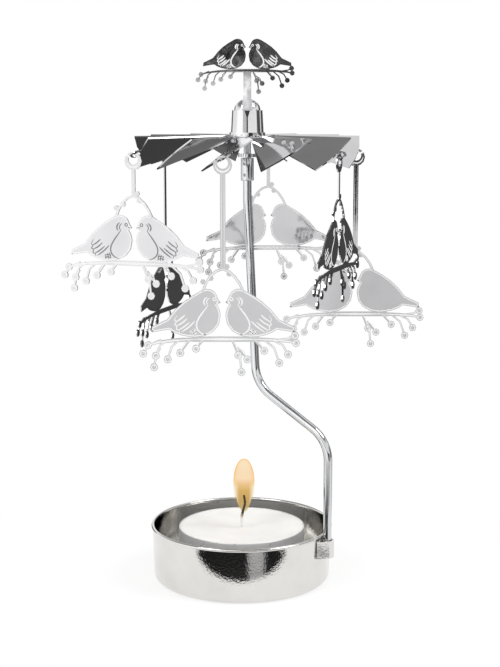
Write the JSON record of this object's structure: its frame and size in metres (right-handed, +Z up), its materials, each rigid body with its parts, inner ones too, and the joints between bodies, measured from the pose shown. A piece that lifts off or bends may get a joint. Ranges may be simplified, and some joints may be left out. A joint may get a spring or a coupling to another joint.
{
  "type": "rotating candle holder",
  "caption": "Chrome rotating candle holder: a tealight tray with a bent wire stem, and a bladed wheel on a needle that carries hanging bird ornaments and a bird figure on top.",
  "frame": {"origin": "centre of the tray's flat underside", "axes": "+Z up; -Y is the front; the stem's foot is a little in front of +X"},
  "size_m": [0.1092, 0.0872, 0.1627],
  "materials": {
    "tray_chrome": "polished, drawn sheet",
    "wire_chrome": "polished wire",
    "sheet_chrome": "polished sheet with matt etched lines",
    "cap_chrome": "polished, turned",
    "foil": "thin pressed foil",
    "wax": "smooth white wax",
    "cotton": "charred braided cotton"
  },
  "bodies": {
    "base": {"tray": "tray_chrome", "stem_wire": "wire_chrome", "crimped_sleeve": "wire_chrome", "pivot_collar": "wire_chrome", "pivot_needle": "wire_chrome"},
    "tealight": {"tealight_cup": "foil", "tealight_wax": "wax", "wick_sustainer": "foil", "wick": "cotton"},
    "rotor": {"blade_wheel": "sheet_chrome", "hub_cap": "cap_chrome", "clamp_ring": "cap_chrome", "top_bird_figure": "sheet_chrome"},
    "pendant_1": {"bird_pendant_1": "sheet_chrome"},
    "pendant_2": {"bird_pendant_2": "sheet_chrome"},
    "pendant_3": {"bird_pendant_3": "sheet_chrome"},
    "pendant_4": {"bird_pendant_4": "sheet_chrome"},
    "pendant_5": {"bird_pendant_5": "sheet_chrome"},
    "pendant_6": {"bird_pendant_6": "sheet_chrome"}
  },
  "joints": [
    {"name": "rotor_spin", "type": "hinge", "parent": "base", "child": "rotor", "pos_m": [0.00177, -0.00094, 0.1394], "axis": [0, 0, 1], "continuous": true},
    {"name": "tealight_lift", "type": "slide", "parent": "base", "child": "tealight", "axis": [0, 0, 1], "range_m": [0, 0.024]},
    {"name": "pendant_1_swing", "type": "hinge", "parent": "rotor", "child": "pendant_1", "pos_m": [-0.00488, -0.03428, 0.12926], "axis": [-0.9848, 0.1736, 0], "range_deg": [-8, 20]},
    {"name": "pendant_2_swing", "type": "hinge", "parent": "rotor", "child": "pendant_2", "pos_m": [0.02744, -0.02342, 0.12926], "axis": [-0.6428, -0.766, 0], "range_deg": [-8, 20]},
    {"name": "pendant_3_swing", "type": "hinge", "parent": "rotor", "child": "pendant_3", "pos_m": [0.03468, 0.01064, 0.12947], "axis": [0.342, -0.9397, 0], "range_deg": [-8, 20]},
    {"name": "pendant_4_swing", "type": "hinge", "parent": "rotor", "child": "pendant_4", "pos_m": [0.00841, 0.0324, 0.12926], "axis": [0.9848, -0.1736, 0], "range_deg": [-8, 20]},
    {"name": "pendant_5_swing", "type": "hinge", "parent": "rotor", "child": "pendant_5", "pos_m": [-0.02391, 0.02155, 0.12926], "axis": [0.6428, 0.766, 0], "range_deg": [-8, 20]},
    {"name": "pendant_6_swing", "type": "hinge", "parent": "rotor", "child": "pendant_6", "pos_m": [-0.03093, -0.01224, 0.12935], "axis": [-0.342, 0.9397, 0], "range_deg": [-8, 20]}
  ]
}
